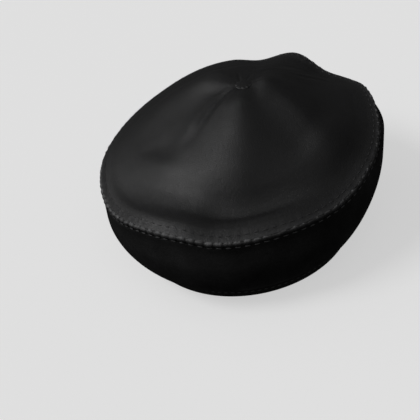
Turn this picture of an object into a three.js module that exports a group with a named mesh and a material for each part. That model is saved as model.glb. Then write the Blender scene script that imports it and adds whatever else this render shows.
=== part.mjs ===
// A leather beret at rest on its head band: a puffed round crown with a button, a rolled welt round its edge,
// a deep bulging underside and a narrow head band. Millimetres, +Z up, +Y towards the back of the hat.
import * as THREE from "three";

// Head band
const bandRadius = 96.5; // outside, for a head of about 59 cm
const bandThickness = 2.4;
const bandHeight = 13;
const bandEdgeRound = 0.6;

// Edge seam: a circle that leans and slouches back over the band
const edgeRadius = 126;
const edgeHeight = 73; // at its centre
const edgeSlouch = { right: 5, back: 26 }; // from the band's centre
const edgeLean = { right: 0.04, back: 0.07 }; // rise per millimetre
const weltRadius = 2.2;

// Button
const buttonOffset = { right: 15, back: 5 }; // from the edge's centre
const buttonRadius = 7.3;
const buttonThickness = 3.2;
const crownHeight = 49; // of the button's seat over the edge

const leatherThickness = 1.6;
const gap = 0.3; // between neighbouring pieces
const turns = 72; // steps round the hat

// The edge's waves, by azimuth from the hat's right towards its back: how far it lifts and stands out
const edgeWaves = [
  { azimuth: 8, lift: 9, out: -3 },
  { azimuth: 25, lift: 1.5, out: 1 },
  { azimuth: 38, lift: 0.5, out: -1 },
  { azimuth: 53, lift: 12.5, out: -1 },
  { azimuth: 71, lift: 3.5, out: -1 },
  { azimuth: 84, lift: 7.5, out: -1 },
  { azimuth: 100, lift: 7, out: -1 },
  { azimuth: 125, lift: 1, out: -1 },
  { azimuth: 150, lift: -2.5, out: -0.5 },
  { azimuth: 170, lift: -3, out: -0.5 },
  { azimuth: 188, lift: -3.5, out: -0.5 },
  { azimuth: 205, lift: -2.5, out: 0 },
  { azimuth: 236, lift: 6.5, out: 0 },
  { azimuth: 256, lift: 1.5, out: 0 },
  { azimuth: 280, lift: 1.5, out: 0 },
  { azimuth: 303, lift: -1, out: 0 },
  { azimuth: 322, lift: 3, out: -0.5 },
  { azimuth: 344, lift: 6, out: -3 },
];

// The crown's height over the edge on its eight sides, by share of the way from the button out to the edge.
// Each row's heights start at the hat's right and go round by its back, left and front.
const crownProfile = [
  { out: 0, heights: [49, 49, 49, 49, 49, 49, 49, 49] },
  { out: 0.07, heights: [48.8, 48.5, 48.2, 48.8, 48.4, 48.8, 48.8, 48.8] },
  { out: 0.15, heights: [48.6, 46.5, 46.5, 48.3, 45.5, 48.3, 48.8, 48.6] },
  { out: 0.3, heights: [41.5, 42.8, 43.5, 44.8, 40.8, 42.3, 45, 42.5] },
  { out: 0.5, heights: [27.7, 31.5, 32, 35, 29.3, 30, 34, 31.5] },
  { out: 0.6, heights: [21.7, 23.8, 24.2, 28.5, 23.3, 22.7, 27.5, 26.3] },
  { out: 0.7, heights: [15.9, 16, 15, 21.5, 19.5, 13, 20.5, 22] },
  { out: 0.75, heights: [12.5, 12, 12.5, 17.7, 17.5, 8, 15.6, 19.5] },
  { out: 0.8, heights: [9.2, 8.2, 10.7, 14.3, 15, 5.5, 9.6, 16.5] },
  { out: 0.84, heights: [6.7, 5.7, 9, 11.6, 12.8, 4.8, 4, 13] },
  { out: 0.88, heights: [4.5, 4, 7, 8.8, 11, 5, 0, 8] },
  { out: 0.93, heights: [2.4, 2.2, 4.2, 5.4, 8.5, 5.8, 2, 3.3] },
  { out: 1, heights: [1, 1, 1, 1, 1, 1, 1, 1] },
];

// Folds that run out from the button. Ridges have a positive height and creases a negative one.
const crownFolds = [
  { azimuth: 260, bend: 0, from: 0.07, to: 0.85, widthIn: 12, widthOut: 30, height: 4 },
  { azimuth: 190, bend: 55, from: 0.09, to: 0.55, widthIn: 5, widthOut: 9, height: -3.5 },
  { azimuth: 321, bend: -10, from: 0.1, to: 0.85, widthIn: 9, widthOut: 18, height: 7 },
  { azimuth: 193, bend: 14, from: 0.15, to: 0.72, widthIn: 8, widthOut: 14, height: -4 },
  { azimuth: 60, bend: -12, from: 0.2, to: 0.98, widthIn: 8, widthOut: 12, height: -4.5 },
];

// The underside from the head band up to the edge: share of the height, share of the slouch, and radius
const undersideProfile = [
  { up: 0, slouch: 0, radius: 96.5 },
  { up: 0.08, slouch: 0.03, radius: 106 },
  { up: 0.32, slouch: 0.27, radius: 117.5 },
  { up: 0.65, slouch: 0.74, radius: 127 },
  { up: 0.9, slouch: 0.97, radius: 127.5 },
  { up: 1, slouch: 1, radius: 125.5 },
];

// Soft swellings and dents of the underside. way is the share of the way from the head band to the edge.
const undersideSwells = [
  { azimuth: 212, way: 0.55, across: 35, height: 2 },
  { azimuth: 243, way: 0.45, across: 22, height: 2.5 },
  { azimuth: 275, way: 0.45, across: 14, height: -2.5 },
  { azimuth: 293, way: 0.35, across: 12, height: -2 },
];
const undersideReach = 85; // slant length from the head band to the edge

const degrees = THREE.MathUtils.degToRad;
const wrap = (angle) => THREE.MathUtils.euclideanModulo(angle, 360);
const signedTurn = (angle) => wrap(angle + 180) - 180;
const step = THREE.MathUtils.smoothstep;

// Cubic through two values with given rises over the stretch between them
function hermite(t, start, startRise, end, endRise) {
  const t2 = t * t;
  const t3 = t2 * t;
  return (
    (2 * t3 - 3 * t2 + 1) * start +
    (t3 - 2 * t2 + t) * startRise +
    (3 * t2 - 2 * t3) * end +
    (t3 - t2) * endRise
  );
}

// Smooth closed curve through a column of a table whose rows go round by azimuth
function waveAt(table, column, azimuth) {
  const count = table.length;
  const angle = wrap(azimuth);
  const after = table.findIndex((row) => row.azimuth > angle);
  const next = after < 0 ? 0 : after;
  const rows = [-2, -1, 0, 1].map((shift) => table[(next + shift + count) % count]);
  const [a, b, c, d] = rows;
  const reach = wrap(c.azimuth - b.azimuth);
  const slope = (p, q) => ((q[column] - p[column]) / wrap(q.azimuth - p.azimuth)) * reach;
  return hermite(wrap(angle - b.azimuth) / reach, b[column], slope(a, c), c[column], slope(b, d));
}

// Curve without overshoot through a column of a table, by its key column
function profileAt(table, key, column, at) {
  const last = table.length - 1;
  const found = table.findIndex((row) => row[key] >= at);
  const upper = Math.max(1, found < 0 ? last : found);
  const rise = (i) => (table[i][column] - table[i - 1][column]) / (table[i][key] - table[i - 1][key]);
  const tangent = (i) => {
    if (i === 0) return 0;
    if (i === last) return rise(last);
    const before = rise(i);
    const after = rise(i + 1);
    return before * after > 0 ? (2 * before * after) / (before + after) : 0;
  };
  const low = table[upper - 1];
  const high = table[upper];
  const reach = high[key] - low[key];
  return hermite(
    (at - low[key]) / reach,
    low[column],
    tangent(upper - 1) * reach,
    high[column],
    tangent(upper) * reach,
  );
}

const edgeCentre = new THREE.Vector2(edgeSlouch.right, edgeSlouch.back);
const buttonCentre = edgeCentre.clone().add(new THREE.Vector2(buttonOffset.right, buttonOffset.back));

// Height of the edge's leaning plane
function edgePlane(x, y) {
  return edgeHeight + edgeLean.right * (x - edgeCentre.x) + edgeLean.back * (y - edgeCentre.y);
}

// Point of the edge at an azimuth, moved inwards by inset
function edgePoint(azimuth, inset = 0) {
  const reach = edgeRadius + waveAt(edgeWaves, "out", azimuth) - inset;
  const x = edgeCentre.x + reach * Math.cos(degrees(azimuth));
  const y = edgeCentre.y + reach * Math.sin(degrees(azimuth));
  return new THREE.Vector3(x, y, edgePlane(x, y) + waveAt(edgeWaves, "lift", azimuth));
}

// The crown's height over the edge, blended between its eight sides
const crownSides = crownProfile[0].heights.map((_, side) =>
  crownProfile.map(({ out, heights }) => ({ out, height: heights[side] })),
);
function puff(out, azimuth) {
  const between = 360 / crownSides.length;
  return crownSides.reduce((sum, rows, side) => {
    const away = Math.min(1, Math.abs(signedTurn(azimuth - side * between)) / between);
    const share = Math.cos((away * Math.PI) / 2) ** 2;
    return share ? sum + share * profileAt(rows, "out", "height", out) : sum;
  }, 0);
}

function foldHeight(fold, out, azimuth, x, y) {
  const turn = signedTurn(azimuth - fold.azimuth - fold.bend * out);
  if (Math.abs(turn) > 90) return 0;
  const across = degrees(turn) * Math.hypot(x - buttonCentre.x, y - buttonCentre.y);
  const along = THREE.MathUtils.clamp((out - fold.from) / (fold.to - fold.from), 0, 1);
  const width = THREE.MathUtils.lerp(fold.widthIn, fold.widthOut, along);
  const fadeIn = 0.1;
  const fadeOut = 0.3;
  const ends = step(out, fold.from, fold.from + fadeIn) * (1 - step(out, fold.to - fadeOut, fold.to));
  return fold.height * ends * Math.exp(-((across / width) ** 2));
}

const crownInset = weltRadius + gap + 0.1; // where the crown's edge stops short of the welt's middle line

// Outer surface of the crown
function crownPoint(out, azimuth) {
  const edge = edgePoint(azimuth, crownInset);
  const x = THREE.MathUtils.lerp(buttonCentre.x, edge.x, out);
  const y = THREE.MathUtils.lerp(buttonCentre.y, edge.y, out);
  const waveReach = 0.55; // the edge's waves die out inside this share of the way out
  const wave = waveAt(edgeWaves, "lift", azimuth) * step(out, waveReach, 1);
  const folds = crownFolds.reduce((sum, fold) => sum + foldHeight(fold, out, azimuth, x, y), 0);
  return new THREE.Vector3(x, y, edgePlane(x, y) + wave + puff(out, azimuth) + folds);
}

// Outer surface of the underside, from its lower edge at up = 0 to its upper edge at up = 1
function undersidePoint(way, azimuth) {
  const row = (column) => profileAt(undersideRows, "way", column, way);
  const low = bandHeight + gap;
  const high = edgePoint(azimuth).z - weltRadius - gap;
  const plain = row("radius") + waveAt(edgeWaves, "out", azimuth) * row("slouch");
  const radius = undersideSwells.reduce((sum, swell) => {
    const across = degrees(signedTurn(azimuth - swell.azimuth)) * plain;
    const along = (way - swell.way) * undersideReach;
    return sum + swell.height * Math.exp(-(across ** 2 + along ** 2) / swell.across ** 2);
  }, plain);
  return new THREE.Vector3(
    edgeCentre.x * row("slouch") + radius * Math.cos(degrees(azimuth)),
    edgeCentre.y * row("slouch") + radius * Math.sin(degrees(azimuth)),
    low + (high - low) * row("up"),
  );
}
const undersideRows = undersideProfile.map((row, i) => ({ ...row, way: i / (undersideProfile.length - 1) }));

// Moves each vertex of a geometry to where place(x, y, z) says
function reshape(geometry, place) {
  const position = geometry.getAttribute("position");
  for (let i = 0; i < position.count; i++) {
    const point = place(position.getX(i), position.getY(i), position.getZ(i));
    position.setXYZ(i, point.x, point.y, point.z);
  }
  geometry.computeVertexNormals();
  return geometry;
}

// A turned ring or disc about +Z, from its profile of [radius, height] points
function turned(profile) {
  const points = profile.map(([radius, height]) => new THREE.Vector2(radius, height));
  return new THREE.LatheGeometry(points, turns).rotateX(Math.PI / 2);
}

const azimuthOf = (x, y) => Math.round(wrap(THREE.MathUtils.radToDeg(Math.atan2(y, x))) * 1000) / 1000;

// The crown starts as a flat disc of radius 1 with its inner face at height 0 and its outer face at height 1
function crownGeometry() {
  const shares = [0, 0.07, 0.15, 0.23, 0.31, 0.4, 0.49, 0.58, 0.66, 0.73, 0.79, 0.84, 0.89, 0.95, 1];
  const inner = shares.map((share) => [share, 0]);
  const outer = shares.toReversed().map((share) => [share, 1]);
  return reshape(turned([...inner, ...outer]), (x, y, face) => {
    const point = crownPoint(Math.min(1, Math.hypot(x, y)), azimuthOf(x, y));
    point.z -= face > 0.5 ? 0 : leatherThickness;
    return point;
  });
}

// The underside starts as a flat ring from radius 1 to radius 2, with its outer face at height 0
function undersideGeometry() {
  const steps = 8;
  const ways = Array.from({ length: steps + 1 }, (_, i) => i / steps);
  const outer = ways.map((way) => [1 + way, 0]);
  const inner = ways.toReversed().map((way) => [1 + way, 1]);
  return reshape(turned([...outer, ...inner, outer[0]]), (x, y, face) => {
    const way = THREE.MathUtils.clamp(Math.hypot(x, y) - 1, 0, 1);
    const azimuth = azimuthOf(x, y);
    const point = undersidePoint(way, azimuth);
    if (face < 0.5) return point;
    const nudge = 0.01;
    const low = undersidePoint(Math.max(0, way - nudge), azimuth);
    const high = undersidePoint(Math.min(1, way + nudge), azimuth);
    const around = new THREE.Vector3(-Math.sin(degrees(azimuth)), Math.cos(degrees(azimuth)), 0);
    const inwards = high.sub(low).cross(around).normalize();
    return point.addScaledVector(inwards, leatherThickness);
  });
}

// The welt starts as a plain torus and follows the edge
function weltGeometry() {
  const sectionSides = 6;
  return reshape(new THREE.TorusGeometry(edgeRadius, weltRadius, sectionSides, turns), (x, y, z) => {
    const azimuth = azimuthOf(x, y);
    const point = edgePoint(azimuth, edgeRadius - Math.hypot(x, y));
    point.z = edgePoint(azimuth).z + z;
    return point;
  });
}

function bandGeometry() {
  const inside = bandRadius - bandThickness;
  const round = bandEdgeRound;
  const section = [
    [inside + round, 0],
    [bandRadius - round, 0],
    [bandRadius, round],
    [bandRadius, bandHeight - round],
    [bandRadius - round, bandHeight],
    [inside + round, bandHeight],
    [inside, bandHeight - round],
    [inside, round],
    [inside + round, 0],
  ];
  return turned(section);
}

// A flat dome, centred on the Z axis with its underside at height 0
function buttonGeometry() {
  const crownSteps = 5;
  const dome = Array.from({ length: crownSteps + 1 }, (_, i) => {
    const angle = (i / crownSteps) * (Math.PI / 2);
    return new THREE.Vector2(buttonRadius * Math.cos(angle) ** 0.6, buttonThickness * Math.sin(angle) ** 0.8);
  });
  dome[crownSteps].x = 0;
  const sides = 24;
  return new THREE.LatheGeometry([new THREE.Vector2(0, 0), ...dome], sides).rotateX(Math.PI / 2);
}

const leather = { color: 0x17171a, metalness: 0 };
const pieces = {
  crown_panel: { geometry: crownGeometry(), material: { ...leather, roughness: 0.42 } },
  edge_welt: { geometry: weltGeometry(), material: { ...leather, roughness: 0.38 } },
  underside_panel: { geometry: undersideGeometry(), material: { ...leather, roughness: 0.5 } },
  head_band: { geometry: bandGeometry(), material: { ...leather, roughness: 0.5 } },
  crown_button: { geometry: buttonGeometry(), material: { ...leather, roughness: 0.42 } },
};

const hat = new THREE.Group();
for (const [name, { geometry, material }] of Object.entries(pieces)) {
  const mesh = new THREE.Mesh(geometry, new THREE.MeshStandardMaterial(material));
  mesh.name = name;
  hat.add(mesh);
}

// The button sits on the crown's flat top and leans with the edge's plane
const button = hat.getObjectByName("crown_button");
const seat = edgePlane(buttonCentre.x, buttonCentre.y) + crownHeight;
button.position.set(buttonCentre.x, buttonCentre.y, seat + gap);
button.quaternion.setFromUnitVectors(
  new THREE.Vector3(0, 0, 1),
  new THREE.Vector3(-edgeLean.right, -edgeLean.back, 1).normalize(),
);

// The origin is under the middle of the hat's bounding box
hat.updateMatrixWorld(true);
const middle = new THREE.Box3().setFromObject(hat).getCenter(new THREE.Vector3());
hat.position.set(-middle.x, -middle.y, 0);

const beret = new THREE.Group();
beret.add(hat);

export default beret;
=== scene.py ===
import math

import bmesh
import bpy
import numpy as np
from mathutils import Matrix, Vector


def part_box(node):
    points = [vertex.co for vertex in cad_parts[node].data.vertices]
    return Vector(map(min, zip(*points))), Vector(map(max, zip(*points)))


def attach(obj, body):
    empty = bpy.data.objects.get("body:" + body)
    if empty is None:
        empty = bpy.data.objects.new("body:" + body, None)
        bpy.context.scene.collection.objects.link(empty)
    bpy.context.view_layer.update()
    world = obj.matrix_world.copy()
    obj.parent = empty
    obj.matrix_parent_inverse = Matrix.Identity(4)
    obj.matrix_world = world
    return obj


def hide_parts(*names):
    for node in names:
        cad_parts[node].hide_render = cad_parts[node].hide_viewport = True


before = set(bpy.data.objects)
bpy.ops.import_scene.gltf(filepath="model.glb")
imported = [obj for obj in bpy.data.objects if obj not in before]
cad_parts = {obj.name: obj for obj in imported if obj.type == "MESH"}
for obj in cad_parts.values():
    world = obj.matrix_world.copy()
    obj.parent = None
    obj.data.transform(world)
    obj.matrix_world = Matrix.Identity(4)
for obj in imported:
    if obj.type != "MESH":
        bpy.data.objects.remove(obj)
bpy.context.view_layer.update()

# Crown panel
# The round top of the hat: one thin piece of black lambskin, cut full and puffed up above the edge seam.
# It rises to the button and lies in soft folds that run out from it. Its rim is sewn down on the welt.

# The hat's own measures are millimetres from the middle of the head band, on the floor
MILLIMETRE = 0.001
band_low, band_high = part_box("head_band")
band_middle = np.array([(band_low.x + band_high.x) / 2, (band_low.y + band_high.y) / 2, 0])
leather_thickness = 1.6

# The edge seam is a circle that leans and slouches back over the head band
edge_radius = 126
edge_height = 73
edge_middle = np.array([5, 26])
edge_lean = np.array([0.04, 0.07])
welt_radius = 2.2

# The crown's rim lies this far out over the middle of the welt
rim_overhang = 0.8

# The button sits off the middle, towards the hat's right
button_middle = edge_middle + np.array([15, 5])


def table(columns, *rows):
    """Columns of numbers by their names."""
    return dict(zip(columns.split(), np.array(rows, float).T))


# How far the edge lifts and stands out, by azimuth from the hat's right towards its back
edge_waves = table(
    "azimuth lift out",
    (8, 9, -3),
    (25, -0.8, 1),
    (38, -0.8, -1),
    (53, 12, -1),
    (71, 3.5, -1),
    (84, 7.5, -1),
    (100, 7, -1),
    (125, 1, -1),
    (150, -2.5, -0.2),
    (170, -3, 0.6),
    (188, -3.5, 0.6),
    (205, -3.5, 1.5),
    (227, 3.6, 0.7),
    (243, 4, 0.5),
    (256, -0.6, 0.8),
    (280, -0.6, 1),
    (303, -2.2, 0.8),
    (322, 2.6, -0.5),
    (344, 6, -3),
)

# The crown's height over the edge, by share of the way from the button out to the edge, on its eight sides
crown_profile = table(
    "out right back_right back back_left left front_left front front_right",
    (0, 49, 49, 49, 49, 49, 49, 49, 49),
    (0.07, 49.5, 48.2, 48.4, 48.8, 48, 49.4, 49.8, 49.2),
    (0.15, 49.8, 47, 47.3, 47, 45.6, 48.2, 49.4, 49.2),
    (0.3, 44, 44.2, 46, 44.6, 39.6, 42.6, 44, 42.8),
    (0.5, 30.4, 33, 33.8, 35.2, 28, 31.6, 32, 30.2),
    (0.6, 24, 25.7, 26, 29.5, 21.8, 25.4, 24.6, 24.8),
    (0.7, 17.4, 18.5, 17.4, 22, 17, 16.8, 15.6, 22.6),
    (0.75, 14, 14.2, 15.2, 18, 15.6, 12.4, 10.4, 20.2),
    (0.8, 10.8, 9.5, 12.5, 14.5, 14, 9.9, 6.8, 16.6),
    (0.84, 8, 6.9, 9.9, 11.9, 12.2, 8.7, 5.8, 12.8),
    (0.88, 5.9, 5, 7.3, 9.4, 10.5, 8.1, 6.6, 9),
    (0.92, 4.2, 3.5, 4.9, 6.9, 9.2, 7.7, 6.2, 6.2),
    (0.96, 3, 2.7, 3.2, 4.3, 6.8, 6.1, 4.6, 4.3),
    (1, 1.9, 1.9, 1.9, 1.9, 1.9, 1.9, 1.9, 1.9),
)

# Ridges and creases of the crown, each along its own line. wide_before and wide_after are its half widths in
# millimetres on the side of lower and of higher azimuth, and height is negative in a crease.
crown_folds = {
    "main ridge": table(
        "azimuth out wide_before wide_after height",
        (262, 0.07, 10, 8, 0),
        (263.5, 0.2, 15, 11, 2.8),
        (264.5, 0.4, 21, 15, 3.1),
        (263, 0.6, 26, 19, 3),
        (259, 0.85, 31, 26, 0),
    ),
    "crease left of the ridge": table(
        "azimuth out wide_before wide_after height",
        (181, 0.08, 3, 4, 0),
        (197, 0.17, 4, 6, -2.4),
        (208, 0.28, 5, 7, -3.2),
        (215.5, 0.4, 6, 9, -2.3),
        (218, 0.52, 9, 12, 0),
    ),
    "ridge to the front right": table(
        "azimuth out wide_before wide_after height",
        (336, 0.12, 12, 16, 0),
        (333, 0.2, 14, 21, 2.2),
        (328, 0.3, 15, 26, 5),
        (323, 0.47, 16, 28, 8),
        (318, 0.62, 17, 24, 6.2),
        (311, 0.85, 18, 18, 0),
    ),
    "fine crease to the left": table(
        "azimuth out wide_before wide_after height",
        (153, 0.09, 3, 4, 0),
        (160, 0.18, 5, 6, -1),
        (155, 0.3, 8, 9, -0.8),
        (146, 0.45, 11, 11, 0),
    ),
    "first crease to the back right": table(
        "azimuth out wide_before wide_after height",
        (46, 0.2, 2, 4, 0),
        (38, 0.4, 2, 4, -2),
        (34, 0.65, 3, 4, -2.5),
        (33, 0.88, 3, 4, -1.5),
        (32, 0.97, 3, 3, 0),
    ),
    "second crease to the back right": table(
        "azimuth out wide_before wide_after height",
        (30, 0.3, 3, 3, 0),
        (24, 0.5, 3, 2, -1.6),
        (22, 0.7, 3, 2.5, -2),
        (18, 0.87, 4, 3, 0),
    ),
    "hollow at the back right": table(
        "azimuth out wide_before wide_after height",
        (60, 0.22, 6, 7, 0),
        (56, 0.45, 8, 10, -3),
        (52, 0.7, 9, 12, -4),
        (50, 0.88, 9, 12, -2.3),
        (49, 1, 8, 9, 0),
    ),
    "hollow left of the crease": table(
        "azimuth out wide_before wide_after height",
        (197, 0.36, 18, 22, 0),
        (199, 0.47, 18, 22, -1.6),
        (200.5, 0.58, 18, 20, -3.2),
        (203, 0.7, 14, 15, 0),
    ),
    "brow of the front left": table(
        "azimuth out wide_before wide_after height",
        (189, 0.62, 10, 10, 0),
        (201, 0.665, 12, 12, 2.2),
        (213, 0.65, 12, 12, 1.5),
        (226, 0.61, 10, 10, 0),
    ),
    "trough along the front": table(
        "azimuth out wide_before wide_after height",
        (182, 0.91, 6, 6, 0),
        (196, 0.895, 7, 8, -1.3),
        (218, 0.87, 9, 9, -0.7),
        (245, 0.84, 8, 8, -0.6),
        (275, 0.81, 10, 10, -1.1),
        (292, 0.82, 10, 10, -0.9),
        (306, 0.85, 9, 9, 0),
    ),
    "bump right of the button": table(
        "azimuth out wide_before wide_after height",
        (358, 0.08, 9, 9, 0),
        (352, 0.17, 14, 13, 3),
        (345, 0.3, 15, 14, 1.5),
        (340, 0.4, 15, 14, 0),
    ),
    "first crease behind the button": table(
        "azimuth out wide_before wide_after height",
        (96, 0.06, 1.2, 1.2, 0),
        (93, 0.1, 1.4, 1.4, -1.3),
        (90, 0.15, 1.6, 1.6, -1),
        (88, 0.21, 2, 2, 0),
    ),
    "second crease behind the button": table(
        "azimuth out wide_before wide_after height",
        (66, 0.06, 1.2, 1.2, 0),
        (62, 0.1, 1.4, 1.4, -1.3),
        (60, 0.14, 1.6, 1.6, -1),
        (58, 0.19, 2, 2, 0),
    ),
    "first crease right of the button": table(
        "azimuth out wide_before wide_after height",
        (34, 0.06, 1.2, 1.2, 0),
        (30, 0.1, 1.5, 1.5, -1.4),
        (27, 0.15, 1.8, 1.8, -1.1),
        (25, 0.21, 2.2, 2.2, 0),
    ),
    "second crease right of the button": table(
        "azimuth out wide_before wide_after height",
        (2, 0.06, 1.2, 1.2, 0),
        (0, 0.1, 1.5, 1.5, -1.4),
        (-2, 0.15, 1.8, 1.8, -1),
        (-4, 0.2, 2.2, 2.2, 0),
    ),
    "bump behind the button on the left": table(
        "azimuth out wide_before wide_after height",
        (113, 0.09, 8, 10, 0),
        (116, 0.18, 11, 17, 3.4),
        (119, 0.28, 12, 22, 5),
        (122, 0.42, 14, 24, 4),
        (125, 0.62, 14, 22, 0),
    ),
}


def smooth(low, high, value):
    """0 up to low, 1 from high, and a soft rise between them."""
    share = np.clip((value - low) / (high - low), 0, 1)
    return share * share * (3 - 2 * share)


def hermite(share, start, start_rise, end, end_rise):
    """Cubic between two values, with their rises over the whole stretch."""
    square = share * share
    cube = square * share
    return (
        (2 * cube - 3 * square + 1) * start
        + (cube - 2 * square + share) * start_rise
        + (3 * square - 2 * cube) * end
        + (cube - square) * end_rise
    )


def around(rows, column, azimuth):
    """Smooth closed curve through a table whose rows go round the hat by azimuth."""
    places = rows["azimuth"]
    values = rows[column]
    count = len(places)
    here = (np.searchsorted(places, azimuth % 360, side="right") - 1) % count
    before, after, beyond = (here - 1) % count, (here + 1) % count, (here + 2) % count
    reach = (places[after] - places[here]) % 360
    rise = (values[after] - values[before]) / ((places[after] - places[before]) % 360)
    next_rise = (values[beyond] - values[here]) / ((places[beyond] - places[here]) % 360)
    share = ((azimuth - places[here]) % 360) / reach
    return hermite(share, values[here], rise * reach, values[after], next_rise * reach)


def along(rows, key, column, place):
    """Curve without overshoot through a column of a table, by its key column."""
    keys = rows[key]
    values = rows[column]
    rises = np.diff(values) / np.diff(keys)
    product = rises[:-1] * rises[1:]
    total = np.where(product > 0, rises[:-1] + rises[1:], 1)
    tangents = np.concatenate([[0], np.where(product > 0, 2 * product / total, 0), rises[-1:]])
    here = np.clip(np.searchsorted(keys, place, side="left") - 1, 0, len(keys) - 2)
    reach = keys[here + 1] - keys[here]
    share = (place - keys[here]) / reach
    return hermite(share, values[here], tangents[here] * reach, values[here + 1], tangents[here + 1] * reach)


def direction(azimuth):
    """A step of length 1 over the floor, towards an azimuth."""
    return np.stack([np.cos(np.radians(azimuth)), np.sin(np.radians(azimuth))], -1)


def edge_plane(spot):
    """Height of the edge's leaning plane over a spot of the floor."""
    return edge_height + (spot - edge_middle) @ edge_lean


def edge_point(azimuth, inset=0):
    """Middle line of the edge seam, moved inwards by inset."""
    reach = edge_radius + around(edge_waves, "out", azimuth) - inset
    spot = edge_middle + direction(azimuth) * reach[..., None]
    height = edge_plane(spot) + around(edge_waves, "lift", azimuth)
    return np.concatenate([spot, height[..., None]], -1)


def crown_spot(out, azimuth):
    """Spot of the floor under the crown, at a share of the way out from the button to its rim."""
    edge = edge_point(azimuth, -rim_overhang)[..., :2]
    return button_middle + (edge - button_middle) * out[..., None]


def fold_line(fold):
    """One fold's line over the floor, in close steps, with its widths and height at each."""
    steps = 60
    rows = np.arange(len(fold["out"]))
    at = np.linspace(0, len(rows) - 1, steps)
    line = {name: along(dict(fold, row=rows), "row", name, at) for name in fold}
    line["path"] = crown_spot(line["out"], line["azimuth"])
    line["way"] = np.gradient(line["path"], axis=0)
    return line


fold_lines = [fold_line(fold) for fold in crown_folds.values()]


def fold_heights(line, spots):
    """How far one fold lifts the leather over each spot, blended over the nearest steps of its line."""
    blend = 3.5
    margin = 2.5 * max(line["wide_before"].max(), line["wide_after"].max())
    beside = (spots > line["path"].min(0) - margin) & (spots < line["path"].max(0) + margin)
    close = beside.all(-1)
    offset = spots[close][:, None] - line["path"][None]
    distance = (offset ** 2).sum(-1)
    nearness = np.exp((distance.min(1, keepdims=True) - distance) / blend ** 2)
    aside = line["way"][:, 0] * offset[..., 1] - line["way"][:, 1] * offset[..., 0]
    side = smooth(-1, 1, aside / (blend * np.linalg.norm(line["way"], axis=-1)))
    wide = line["wide_before"] + (line["wide_after"] - line["wide_before"]) * side
    lift = line["height"] * np.exp(-distance / wide ** 2)
    heights = np.zeros(len(spots))
    heights[close] = (nearness * lift).sum(1) / nearness.sum(1)
    return heights


def puff(out, azimuth):
    """The crown's height over the edge, blended between its eight sides."""
    sides = [side for side in crown_profile if side != "out"]
    height = 0
    for index, side in enumerate(sides):
        aside = (azimuth - index * 45 + 180) % 360 - 180
        share = np.cos(np.radians(np.clip(aside * 2, -90, 90))) ** 2
        height = height + share * along(crown_profile, "out", side, out)
    return height


# The stitches of all the seams are set by the same machine, so many to the turn
stitch_count = 110


def stitch_pull(azimuth):
    """1 where a stitch ends and pulls the leather in, and 0 in the middle of each stitch."""
    return 0.5 + 0.5 * np.cos(np.radians(azimuth * stitch_count))


def unevenness(azimuth, *waves):
    """A mild irregular wave round the hat, from a few (turns, shift) waves."""
    return sum(np.sin(np.radians(azimuth * turns + shift)) for turns, shift in waves) / len(waves)


def crown_surface(out, azimuth):
    """Outer surface of the crown. Its folds end at the button and at the rim, which the stitches pucker."""
    spots = crown_spot(out, azimuth)
    wave = around(edge_waves, "lift", azimuth) * smooth(0.55, 1, out)
    folds = sum(fold_heights(line, spots) for line in fold_lines)
    folds = folds * smooth(0.05, 0.08, out) * (1 - smooth(0.93, 1, out))
    from_edge = (1 - out) * edge_radius
    pucker_reach = 5 + 2.5 * unevenness(azimuth, (37, 0), (61, 80), (93, 200))
    pucker_depth = 0.45 * (0.8 + 0.4 * unevenness(azimuth, (29, 10), (53, 120)))
    puckers = -pucker_depth * stitch_pull(azimuth) * np.exp(-((from_edge / pucker_reach) ** 2))
    puckers = puckers * smooth(0, 3, from_edge)
    height = edge_plane(spots) + wave + puff(out, azimuth) + folds + puckers
    return np.concatenate([spots, height[:, None]], -1)


def place(points):
    """Hat millimetres to metres in the part's frame."""
    return (points + band_middle / MILLIMETRE) * MILLIMETRE


def turned_sheet(section, turns):
    """A grid rolled about +Z through a section of (radius, height) points.

    Also gives the azimuth, radius and height of each of its vertices.
    """
    section = np.array(section, float)
    last = len(section) - 1
    sheet = bmesh.new()
    bmesh.ops.create_grid(sheet, x_segments=turns, y_segments=last, size=0.5)
    for vert in sheet.verts:
        radius, height = section[round((vert.co.y + 0.5) * last)]
        angle = round((vert.co.x + 0.5) * turns) / turns * math.tau
        vert.co = radius * math.cos(angle), radius * math.sin(angle), height
    bmesh.ops.remove_doubles(sheet, verts=sheet.verts, dist=1e-5)
    rolled = np.array([vert.co for vert in sheet.verts])
    azimuth = np.degrees(np.arctan2(rolled[:, 1], rolled[:, 0])) % 360
    return sheet, azimuth, np.hypot(rolled[:, 0], rolled[:, 1]), rolled[:, 2]


def finished_piece(name, shape, points, **marks):
    """An object from a bmesh whose vertices go to points. marks are numbers by vertex for its material."""
    for vert, point in zip(shape.verts, place(points)):
        vert.co = point
    bmesh.ops.recalc_face_normals(shape, faces=shape.faces)
    hat_middle = Vector(place(np.array([*edge_middle, edge_height / 2])))
    if sum(face.normal.dot(face.calc_center_median() - hat_middle) for face in shape.faces) < 0:
        bmesh.ops.reverse_faces(shape, faces=shape.faces)
    for face in shape.faces:
        face.smooth = True
    mesh = bpy.data.meshes.new(name)
    shape.to_mesh(mesh)
    shape.free()
    for mark, values in marks.items():
        mesh.attributes.new(mark, "FLOAT", "POINT").data.foreach_set("value", values.astype(np.float32))
    piece = bpy.data.objects.new(name, mesh)
    bpy.context.scene.collection.objects.link(piece)
    return piece


def leather_wall(piece):
    """The sheet's thickness, inwards, with the flesh side as the second material."""
    wall = piece.modifiers.new("wall", "SOLIDIFY")
    wall.thickness = leather_thickness * MILLIMETRE
    wall.offset = -1
    wall.material_offset = 1


# Rings of points lie closest round the button and along the rim
panel_turns = 440
crown_rings = np.concatenate([
    np.linspace(0, 0.12, 15)[:-1],
    np.linspace(0.12, 0.9, 60)[:-1],
    np.linspace(0.9, 1, 18),
])
crown_sheet, crown_azimuth, crown_out, _ = turned_sheet([(out, 0) for out in crown_rings], panel_turns)

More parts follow.
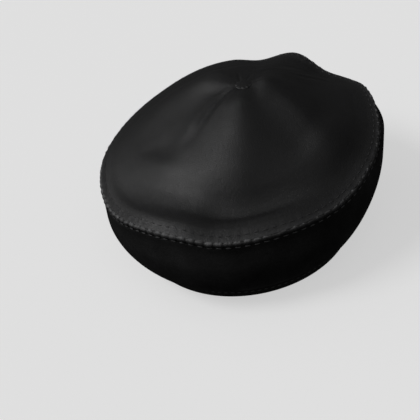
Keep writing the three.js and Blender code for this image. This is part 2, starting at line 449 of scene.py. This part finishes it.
# The rim is painted lighter, most on the small ridges beside its stitches: partly rubbing, partly a painted
# highlight of the lit flange and the pucker ridges
crown_ticks = 0.7 * stitch_pull(crown_azimuth + 0.8) ** 2 * smooth(0.965, 0.985, crown_out)
tick_wear_and_highlight = 0.6 + unevenness(crown_azimuth, (31, 0), (53, 60))
rim_wear_and_highlight = 0.3 * smooth(0.91, 0.97, crown_out) + 0.7 * smooth(0.965, 1, crown_out)
crown = finished_piece(
    "crown_leather_panel",
    crown_sheet,
    crown_surface(crown_out, crown_azimuth),
    seam=rim_wear_and_highlight + crown_ticks * tick_wear_and_highlight,
)
leather_wall(crown)


def node_group(name, inputs, outputs):
    """An empty shader group with its named sockets, and its input and output nodes."""
    group = bpy.data.node_groups.new(name, "ShaderNodeTree")
    for socket, default in inputs.items():
        made = group.interface.new_socket(socket, in_out="INPUT", socket_type="NodeSocketFloat")
        made.default_value = default
    for socket in outputs:
        group.interface.new_socket(socket, in_out="OUTPUT", socket_type="NodeSocketFloat")
    return group, group.nodes.new("NodeGroupInput"), group.nodes.new("NodeGroupOutput")


def add_node(tree, kind, settings=None, **inputs):
    """A node with its settings, whose inputs are numbers, colours or other nodes' outputs."""
    node = tree.nodes.new(kind)
    for name, value in (settings or {}).items():
        setattr(node, name, value)
    for name, value in inputs.items():
        socket = node.inputs[int(name[1:]) if name[1:].isdigit() else name.replace("_", " ")]
        if isinstance(value, bpy.types.NodeSocket):
            tree.links.new(value, socket)
        else:
            socket.default_value = value
    return node


def math_node(tree, operation, *values):
    """The output of a Math node on numbers or other nodes' outputs."""
    numbered = {f"i{index}": value for index, value in enumerate(values)}
    return add_node(tree, "ShaderNodeMath", {"operation": operation}, **numbered).outputs[0]


# Leather grain: small rounded pebbles parted by fine lines, under a loose net of wider wrinkles, with pores
# and soft patches of colour and gloss. Each has so many repeats to the metre.
wrinkles_to_the_metre = 150
pores_to_the_metre = 1900
patches_to_the_metre = 38
bends_to_the_metre = 420
bend_reach = 0.0012
grain, grain_in, grain_out = node_group(
    "leather_grain",
    {"Pebble Size": 0.0011, "Pebble Height": 1.0, "Wrinkle Height": 1.0},
    ("Height", "Lines", "Mottle"),
)
grain_place = grain.nodes.new("ShaderNodeTexCoord").outputs["Object"]
pebble_scale = math_node(grain, "DIVIDE", 1.0, grain_in.outputs["Pebble Size"])
bends = add_node(grain, "ShaderNodeTexNoise", Vector=grain_place, Scale=bends_to_the_metre, Detail=2.0)
bent_place = add_node(
    grain,
    "ShaderNodeMix",
    {"data_type": "VECTOR"},
    i0=bend_reach,
    i4=grain_place,
    i5=bends.outputs["Color"],
)
pebbles = add_node(
    grain,
    "ShaderNodeTexVoronoi",
    {"feature": "DISTANCE_TO_EDGE"},
    Vector=bent_place.outputs[1],
    Scale=pebble_scale,
)
pebble_tops = add_node(
    grain,
    "ShaderNodeMapRange",
    {"interpolation_type": "SMOOTHSTEP"},
    Value=pebbles.outputs["Distance"],
    From_Min=0.0,
    From_Max=0.22,
)
wrinkles = add_node(
    grain,
    "ShaderNodeTexVoronoi",
    {"feature": "DISTANCE_TO_EDGE"},
    Vector=bent_place.outputs[1],
    Scale=wrinkles_to_the_metre,
)
wrinkle_tops = add_node(
    grain,
    "ShaderNodeMapRange",
    {"interpolation_type": "SMOOTHSTEP"},
    Value=wrinkles.outputs["Distance"],
    From_Min=0.0,
    From_Max=0.09,
)
pores = add_node(grain, "ShaderNodeTexNoise", Vector=grain_place, Scale=pores_to_the_metre, Detail=2.0)
pebble_height = math_node(grain, "MULTIPLY", pebble_tops.outputs[0], grain_in.outputs["Pebble Height"])
wrinkle_height = math_node(grain, "MULTIPLY", wrinkle_tops.outputs[0], grain_in.outputs["Wrinkle Height"])
both_heights = math_node(grain, "ADD", pebble_height, wrinkle_height)
grain_height = math_node(grain, "MULTIPLY_ADD", pores.outputs["Fac"], 0.4, both_heights)
patches = add_node(
    grain,
    "ShaderNodeTexNoise",
    Vector=grain_place,
    Scale=patches_to_the_metre,
    Detail=4.0,
    Roughness=0.6,
)
mottle = add_node(
    grain,
    "ShaderNodeMapRange",
    Value=patches.outputs["Fac"],
    From_Min=0.3,
    From_Max=0.7,
)
grain.links.new(grain_height, grain_out.inputs["Height"])
grain.links.new(pebble_tops.outputs[0], grain_out.inputs["Lines"])
grain.links.new(mottle.outputs[0], grain_out.inputs["Mottle"])


def leather(name, dark, light, rough, smooth_rough, pebble=1.0, wrinkle=0.6, mottle=0.7, wear_and_highlight=0.0):
    """Dyed black leather: its colour between two tones and its gloss both follow the grain, and its colour
    also the seam mark, which is partly wear and partly painted highlight.
    """
    grain_depth = 0.00006
    material = bpy.data.materials.new(name)
    material.use_nodes = True
    tree = material.node_tree
    shader = tree.nodes["Principled BSDF"]
    surface = add_node(
        tree,
        "ShaderNodeGroup",
        {"node_tree": grain},
        Pebble_Height=pebble,
        Wrinkle_Height=wrinkle,
    )
    # The seam mark lightens the colour: partly rubbing, partly painted highlight
    seam = add_node(tree, "ShaderNodeAttribute", {"attribute_name": "seam"})
    rubbed_and_highlit = math_node(tree, "MULTIPLY", seam.outputs["Fac"], wear_and_highlight)
    tone = math_node(tree, "MULTIPLY_ADD", surface.outputs["Mottle"], mottle, rubbed_and_highlit)
    grain_shade = math_node(tree, "MULTIPLY_ADD", surface.outputs["Lines"], 0.5, 0.5)
    tone_in_grain = math_node(tree, "MULTIPLY", tone, grain_shade)
    colour = add_node(
        tree,
        "ShaderNodeMix",
        {"data_type": "RGBA"},
        i0=tone_in_grain,
        i6=(*dark, 1),
        i7=(*light, 1),
    )
    gloss = add_node(
        tree,
        "ShaderNodeMapRange",
        Value=surface.outputs["Mottle"],
        To_Min=rough,
        To_Max=smooth_rough,
    )
    bump = add_node(
        tree,
        "ShaderNodeBump",
        Strength=1.0,
        Distance=grain_depth,
        Height=surface.outputs["Height"],
    )
    tree.links.new(colour.outputs[2], shader.inputs["Base Color"])
    tree.links.new(gloss.outputs[0], shader.inputs["Roughness"])
    tree.links.new(bump.outputs[0], shader.inputs["Normal"])
    return material


# Its light tone, on the rim mark, is partly rubbing and partly painted highlight
crown_leather = leather(
    "crown_leather",
    (0.007, 0.007, 0.0074),
    (0.05, 0.05, 0.0515),
    0.455,
    0.395,
    mottle=0.13,
    wear_and_highlight=0.8,
)
flesh_side = leather(
    "leather_flesh_side",
    (0.012, 0.0115, 0.011),
    (0.03, 0.029, 0.028),
    0.95,
    0.85,
    pebble=0.3,
    wrinkle=0.2,
)
crown.data.materials.append(crown_leather)
crown.data.materials.append(flesh_side)
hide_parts("crown_panel")
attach(crown, "root")

# Underside panel
# The deep bulging side and underside, from the edge seam in and down to the head band: the same lambskin,
# eased in with small puckers where it is sewn to the welt and gathered on to the band.
band_radius = 96.5
band_height = 13

# From the head band up to the edge: share of the height, share of the slouch, and radius
underside_profile = table(
    "way up slouch radius",
    (0, 0, 0, 96.5),
    (0.2, 0.08, 0.03, 106),
    (0.4, 0.32, 0.27, 117.5),
    (0.6, 0.65, 0.74, 127),
    (0.8, 0.9, 0.97, 127.8),
    (1, 1, 1, 127.4),
)

# Soft swellings and dents, which end where the leather is caught in the welt. way is the share of the way
# from the head band to the edge.
underside_swells = table(
    "azimuth way across height",
    (350, 0.85, 28, 4),
    (315, 0.6, 28, -1.5),
    (212, 0.55, 35, 1),
    (243, 0.45, 22, 2.5),
    (275, 0.45, 14, -2.5),
    (293, 0.35, 12, -2),
)

# Its length over the leather, from the head band up to the edge
underside_reach = 85


def underside_surface(way, azimuth):
    """Outer surface of the underside."""
    slouch = along(underside_profile, "way", "slouch", way)
    plain = along(underside_profile, "way", "radius", way) + around(edge_waves, "out", azimuth) * slouch
    radius = plain
    caught = 1 - smooth(0.87, 0.99, way)
    for middle, at, across, height in zip(*underside_swells.values()):
        aside = np.radians((azimuth - middle + 180) % 360 - 180) * plain
        upward = (way - at) * underside_reach
        radius = radius + height * caught * np.exp(-(aside ** 2 + upward ** 2) / across ** 2)
    from_edge = (1 - way) * underside_reach
    from_band = way * underside_reach
    top_reach = 5 + 2 * unevenness(azimuth, (41, 30), (67, 100), (97, 10))
    band_reach = 7 + 3 * unevenness(azimuth, (31, 70), (59, 0))
    puckers = 0.5 * np.exp(-((from_edge / top_reach) ** 2)) + 0.4 * np.exp(-((from_band / band_reach) ** 2))
    radius = radius - puckers * stitch_pull(azimuth)
    low = band_height
    high = edge_point(azimuth)[:, 2] - welt_radius * 0.7
    height = low + (high - low) * along(underside_profile, "way", "up", way)
    spots = edge_middle * slouch[:, None] + direction(azimuth) * radius[:, None]
    return np.concatenate([spots, height[:, None]], -1)


underside_rings = np.concatenate([
    np.linspace(0, 0.14, 12)[:-1],
    np.linspace(0.14, 0.9, 36)[:-1],
    np.linspace(0.9, 1, 12),
])
underside_section = [(1 + way, 0) for way in underside_rings]
underside_sheet, underside_azimuth, underside_out, _ = turned_sheet(underside_section, panel_turns)
underside = finished_piece(
    "underside_leather_panel",
    underside_sheet,
    underside_surface(np.clip(underside_out - 1, 0, 1), underside_azimuth),
)
leather_wall(underside)
# Painted shade: the crown's lambskin in darker tones, for the shade under the crown
side_leather = leather(
    "side_leather",
    (0.001, 0.001, 0.001),
    (0.026, 0.026, 0.0265),
    0.74,
    0.45,
    pebble=1.4,
    wrinkle=1,
)

# Painted shade: the side reflects less than the crown, for the shade it lies in under the crown
side_leather.node_tree.nodes["Principled BSDF"].inputs["Specular IOR Level"].default_value = 0.3
underside.data.materials.append(side_leather)
underside.data.materials.append(flesh_side)
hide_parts("underside_panel")
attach(underside, "root")

# Edge welt
# A narrow strip of leather rolled over a cord, sewn between the crown and the underside all round the edge.
# Each stitch pinches it into a row of small pads, which stand up most at the front left. Their tops are
# painted light, partly as rubbing and partly as a painted highlight.
welt_steps_per_stitch = 12
welt_sides = 16
padded_middle = 220

welt_section = [
    (edge_radius + welt_radius * math.cos(angle), welt_radius * math.sin(angle))
    for angle in np.linspace(0, math.tau, welt_sides + 1)
]
welt_turns = stitch_count * welt_steps_per_stitch
welt_ring, welt_azimuth, welt_reach, welt_upwards = turned_sheet(welt_section, welt_turns)
welt_outwards = welt_reach - edge_radius

# Its thickness, as a share of the plain welt's
pinch = stitch_pull(welt_azimuth) ** 3
padded = smooth(0.5, 0.9, np.cos(np.radians(welt_azimuth - padded_middle)))
pad_depth = 0.1 + 0.2 * padded
rough_face = unevenness(welt_azimuth, (83, 0), (131, 40), (211, 90), (337, 20))
thick = 0.94 + 0.22 * padded - pad_depth * pinch + 0.1 * rough_face

# It sways in and out and up and down a little, as it was sewn
sway = 0.25 * unevenness(welt_azimuth, (47, 20), (71, 160), (103, 250))
welt_points = edge_point(welt_azimuth)
welt_out = welt_outwards * thick + sway
welt_points[:, :2] += direction(welt_azimuth) * welt_out[:, None]
welt_points[:, 2] += welt_upwards * thick + 0.2 * unevenness(welt_azimuth, (61, 0), (89, 70))

# Its crest is painted light, partly rubbing and partly a painted highlight, and broader on the pads at the
# front left, which face the light
crest_low = 0.78 - 0.63 * padded
crest = smooth(crest_low, 1, welt_upwards / welt_radius)
pad_wear_and_highlight = 0.75 + 0.4 * rough_face + 0.4 * unevenness(welt_azimuth, (23, 0), (41, 90), (77, 30))
welt_wear_and_highlight = crest * (1 - 0.9 * pinch) * pad_wear_and_highlight
welt = finished_piece("edge_welt_leather", welt_ring, welt_points, seam=welt_wear_and_highlight)
# Its light tone is the crest's rubbing and painted highlight
welt_leather = leather(
    "welt_leather",
    (0.014, 0.014, 0.0144),
    (0.2, 0.2, 0.204),
    0.5,
    0.4,
    mottle=0.15,
    wear_and_highlight=0.9,
)
welt.data.materials.append(welt_leather)
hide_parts("edge_welt")
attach(welt, "root")

# Stitches along the welt
# Two rows of thick waxed black thread, one on the crown and one on the side, a little way from the welt.
# The crown's row is pulled nearly flat into the leather, and the side's row is painted paler, a painted
# highlight on the black thread.
thread_width = 1.1
stitch_share = 0.62
fibres_to_the_metre = 1500


def unit(vectors):
    """The same ways, each with a length of 1."""
    return vectors / np.linalg.norm(vectors, axis=-1, keepdims=True)


def stitch_row(name, surface, reach, proud):
    """Stitches round a surface at one reach, standing proud of it by a share of their width."""
    pitch = 360 / stitch_count
    thread_height = thread_width * (0.4 + proud)
    turn_from_row = math.radians(4)
    azimuth = (np.arange(stitch_count) + 0.5) * pitch
    level = np.full(stitch_count, reach)
    half = stitch_share * pitch / 2
    middles = surface(level, azimuth)
    runs = surface(level, azimuth + half) - surface(level, azimuth - half)
    aside = surface(level - 0.01, azimuth) - middles
    lengths = np.linalg.norm(runs, axis=-1)
    ups = unit(np.cross(runs, aside))
    outwards = ((middles - np.array([*edge_middle, edge_height])) * ups).sum(-1)
    ups = ups * np.sign(outwards)[:, None]
    runs = unit(runs)
    acrosses = np.cross(ups, runs)
    row = bmesh.new()
    for index in range(stitch_count):
        stitch = bmesh.ops.create_uvsphere(row, u_segments=10, v_segments=7, radius=0.5)["verts"]
        bmesh.ops.scale(row, verts=stitch, vec=(lengths[index], thread_width, thread_height))
        wobble = turn_from_row * math.sin(index * 2.4)
        bmesh.ops.rotate(row, verts=stitch, cent=(0, 0, 0), matrix=Matrix.Rotation(wobble, 3, "Z"))
        turn = Matrix(np.column_stack([runs[index], acrosses[index], ups[index]]).tolist()).to_4x4()
        seat = middles[index] + ups[index] * thread_width * (proud / 2 - 0.05)
        bmesh.ops.transform(row, verts=stitch, matrix=Matrix.Translation(seat) @ turn)
    points = np.array([vert.co for vert in row.verts])
    return finished_piece(name, row, points)


crown_row_inset = 4.4
crown_row_reach = 1 - crown_row_inset / edge_radius
side_row_drop = 3.4
side_row_reach = 1 - side_row_drop / underside_reach
crown_stitches = stitch_row("crown_seam_stitches", crown_surface, crown_row_reach, 0.15)
side_stitches = stitch_row("side_seam_stitches", underside_surface, side_row_reach, 0.45)


def waxed_thread(name, dark, light):
    """Black thread, its colour between two greys as the wax has rubbed off its fibres."""
    material = bpy.data.materials.new(name)
    material.use_nodes = True
    tree = material.node_tree
    shader = tree.nodes["Principled BSDF"]
    shader.inputs["Roughness"].default_value = 0.5
    fibres = add_node(
        tree,
        "ShaderNodeTexNoise",
        Vector=tree.nodes.new("ShaderNodeTexCoord").outputs["Object"],
        Scale=fibres_to_the_metre,
        Detail=2.0,
    )
    colour = add_node(
        tree,
        "ShaderNodeMix",
        {"data_type": "RGBA"},
        i0=fibres.outputs["Fac"],
        i6=(dark, dark, dark * 1.03, 1),
        i7=(light, light, light * 1.03, 1),
    )
    bump = add_node(tree, "ShaderNodeBump", Strength=1.0, Distance=0.0001, Height=fibres.outputs["Fac"])
    tree.links.new(colour.outputs[2], shader.inputs["Base Color"])
    tree.links.new(bump.outputs[0], shader.inputs["Normal"])
    return material


crown_thread = waxed_thread("crown_thread", 0.018, 0.05)
# Painted highlight: the side's and the band's rows take a paler copy of the thread
highlit_thread = waxed_thread("highlit_thread", 0.05, 0.11)
for row, thread in ((crown_stitches, crown_thread), (side_stitches, highlit_thread)):
    row.data.materials.append(thread)
    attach(row, "root")

# Head band
# A strip of the same leather folded over at both edges, sewn under the gathered underside. The hat rests on
# its lower fold, which lies flat, and one row of stitches runs round its middle.
band_thickness = 2.4
band_round = 1.1
band_corners = [
    (-band_thickness, band_round),
    (-band_thickness, band_height - band_round),
    (-band_thickness + band_round, band_height),
    (-band_round, band_height),
    (0, band_height - band_round),
    (0, band_round),
    (-band_round, 0),
    (-band_thickness + band_round, 0),
    (-band_thickness, band_round),
]
band_section = [
    (band_radius + start[0] + (end[0] - start[0]) * share, start[1] + (end[1] - start[1]) * share)
    for start, end in zip(band_corners, band_corners[1:])
    for share in np.linspace(0, 1, 5)[:-1]
] + [(band_radius - band_thickness, band_round)]
band_ring, band_azimuth, band_reach, band_level = turned_sheet(band_section, stitch_count * 5)
band_outside = smooth(band_radius - band_thickness, band_radius, band_reach)
band_row_height = 6
from_row = band_level - band_row_height
band_pull = 0.35 * stitch_pull(band_azimuth) * np.exp(-((from_row / 2.5) ** 2))
band_bulge = 0.5 * (1 - (from_row / band_height * 2) ** 2)
band_reach = band_reach + band_outside * (band_bulge - band_pull)
band_points = np.concatenate([direction(band_azimuth) * band_reach[:, None], band_level[:, None]], -1)
band = finished_piece("head_band_leather", band_ring, band_points)
band_leather = leather("band_leather", (0.005, 0.005, 0.0052), (0.013, 0.013, 0.0135), 0.55, 0.47)
band.data.materials.append(band_leather)
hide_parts("head_band")
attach(band, "root")


def band_face(height, azimuth):
    """Outer face of the band at a height of its middle part."""
    bulge = 0.35
    spots = direction(azimuth) * (band_radius + bulge)
    return np.concatenate([spots, height[:, None]], -1)


band_stitches = stitch_row("head_band_stitches", band_face, band_row_height, 0.45)
# Painted highlight: the band's row takes the paler thread
band_stitches.data.materials.append(highlit_thread)
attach(band_stitches, "root")

# Crown button
# A small flat disc covered in the crown's leather and sewn down at the top, slightly domed, with the cover
# gathered under its rim.
button_radius = 7.3
button_thickness = 2
button_edge = 0.8
button_gathers = 11
button_sink = 0.4

button_tops = np.concatenate([np.linspace(0, 0.8, 9), [0.87, 0.93, 0.97, 1]])
button_section = [(share, 1) for share in button_tops] + [(0.98, 0.5), (0.9, 0.2), (0.7, 0), (0, 0)]
button_sheet, button_azimuth, button_out, button_side = turned_sheet(button_section, 132)
gathers = 0.2 * np.cos(np.radians(button_azimuth * button_gathers)) * smooth(0.6, 1, button_out)
dome = np.sqrt(1 - np.clip(button_out, 0, 1) ** 2.4) * (button_side == 1)
button_height = button_edge * button_side + (button_thickness - button_edge) * dome + gathers * button_side
button_local = np.concatenate([
    direction(button_azimuth) * (button_out * button_radius + gathers * 0.6)[:, None],
    button_height[:, None],
], -1)
lean = Vector((-edge_lean[0], -edge_lean[1], 1)).normalized()
lean_turn = np.array(Vector((0, 0, 1)).rotation_difference(lean).to_matrix())
seat_height = edge_plane(button_middle) + crown_profile["right"][0] - button_sink
button_seat = np.array([*button_middle, seat_height])
button = finished_piece(
    "crown_button_leather",
    button_sheet,
    button_local @ lean_turn.T + button_seat,
    seam=smooth(0.8, 1, button_out),
)
button.data.materials.append(crown_leather)
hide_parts("crown_button")
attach(button, "root")

# Studio
# A pale floor in a white surround, a large soft key light above and to the left, and weak fills. The camera
# has the photograph's view of the hat.
floor_half = 30
floor_shape = bmesh.new()
bmesh.ops.create_grid(floor_shape, x_segments=1, y_segments=1, size=floor_half)
floor_mesh = bpy.data.meshes.new("floor")
floor_shape.to_mesh(floor_mesh)
floor_shape.free()
floor = bpy.data.objects.new("floor", floor_mesh)
bpy.context.scene.collection.objects.link(floor)
floor_paint = bpy.data.materials.new("pale_floor")
floor_paint.use_nodes = True
floor_shader = floor_paint.node_tree.nodes["Principled BSDF"]
floor_shader.inputs["Base Color"].default_value = (0.5, 0.5, 0.5, 1)
floor_shader.inputs["Roughness"].default_value = 0.9
floor_shader.inputs["Specular IOR Level"].default_value = 0
floor_shader.inputs["Emission Color"].default_value = (1, 1, 1, 1)
floor_shader.inputs["Emission Strength"].default_value = 0.55
floor.data.materials.append(floor_paint)
floor.visible_diffuse = False
floor.visible_glossy = False

# Each light shines from its azimuth and elevation. width is how wide it looks from the hat, in degrees.
lights = table(
    "azimuth elevation width strength",
    (176, 48, 25, 0.88),
    (140, 35, 45, 0.16),
    (0, 88, 60, 0.11),
    (300, 60, 60, 0.08),
    (200, 20, 50, 0.07),
)
for index, (azimuth, elevation, width, strength) in enumerate(zip(*lights.values())):
    lamp = bpy.data.lights.new(f"soft_light_{index}", "SUN")
    lamp.energy = strength
    lamp.angle = math.radians(width)
    light = bpy.data.objects.new(lamp.name, lamp)
    bpy.context.scene.collection.objects.link(light)
    flat_way = direction(azimuth) * math.cos(math.radians(elevation))
    towards = Vector((*flat_way, math.sin(math.radians(elevation))))
    light.rotation_euler = towards.to_track_quat("Z", "Y").to_euler()

# The surround lights the hat weakly, and least from near the floor, but the camera sees it white
world = bpy.data.worlds.new("studio")
bpy.context.scene.world = world
world.use_nodes = True
surround = world.node_tree.nodes["Background"]
surround.inputs["Color"].default_value = (1, 1, 1, 1)
sky_way = world.node_tree.nodes.new("ShaderNodeTexCoord").outputs["Generated"]
sky_height = add_node(world.node_tree, "ShaderNodeSeparateXYZ", Vector=sky_way).outputs["Z"]
sky = add_node(
    world.node_tree,
    "ShaderNodeMapRange",
    Value=sky_height,
    From_Min=-0.1,
    From_Max=0.4,
    To_Min=0.03,
    To_Max=0.08,
)
world.node_tree.links.new(sky.outputs[0], surround.inputs["Strength"])
backdrop = add_node(world.node_tree, "ShaderNodeBackground", Color=(1, 1, 1, 1), Strength=1.0)
camera_ray = world.node_tree.nodes.new("ShaderNodeLightPath").outputs["Is Camera Ray"]
shown = add_node(
    world.node_tree,
    "ShaderNodeMixShader",
    i0=camera_ray,
    i1=surround.outputs[0],
    i2=backdrop.outputs[0],
)
world.node_tree.links.new(shown.outputs[0], world.node_tree.nodes["World Output"].inputs["Surface"])

# The camera's place and turn in degrees, and its distance and target in the hat's millimetres
view_angle = 38
view_elevation = 38
view_azimuth = 3.9
view_roll = -13.35
view_distance = 548
view_target = np.array([-30, -12, 30])

sine, cosine = math.sin(math.radians(view_azimuth)), math.cos(math.radians(view_azimuth))
backwards = Vector((
    sine * math.cos(math.radians(view_elevation)),
    -cosine * math.cos(math.radians(view_elevation)),
    math.sin(math.radians(view_elevation)),
))
level_right = Vector((cosine, sine, 0))
level_up = backwards.cross(level_right)
turn = Matrix((level_right, level_up, backwards)).transposed()
roll = Matrix.Rotation(math.radians(view_roll), 3, "Z")
camera_data = bpy.data.cameras.new("camera")
camera_data.angle = math.radians(view_angle)
camera = bpy.data.objects.new("camera", camera_data)
bpy.context.scene.collection.objects.link(camera)
eye = Vector(place(view_target)) + backwards * view_distance * MILLIMETRE
camera.matrix_world = Matrix.Translation(eye) @ (turn @ roll).to_4x4()
bpy.context.scene.camera = camera
bpy.context.scene.view_settings.view_transform = "Standard"
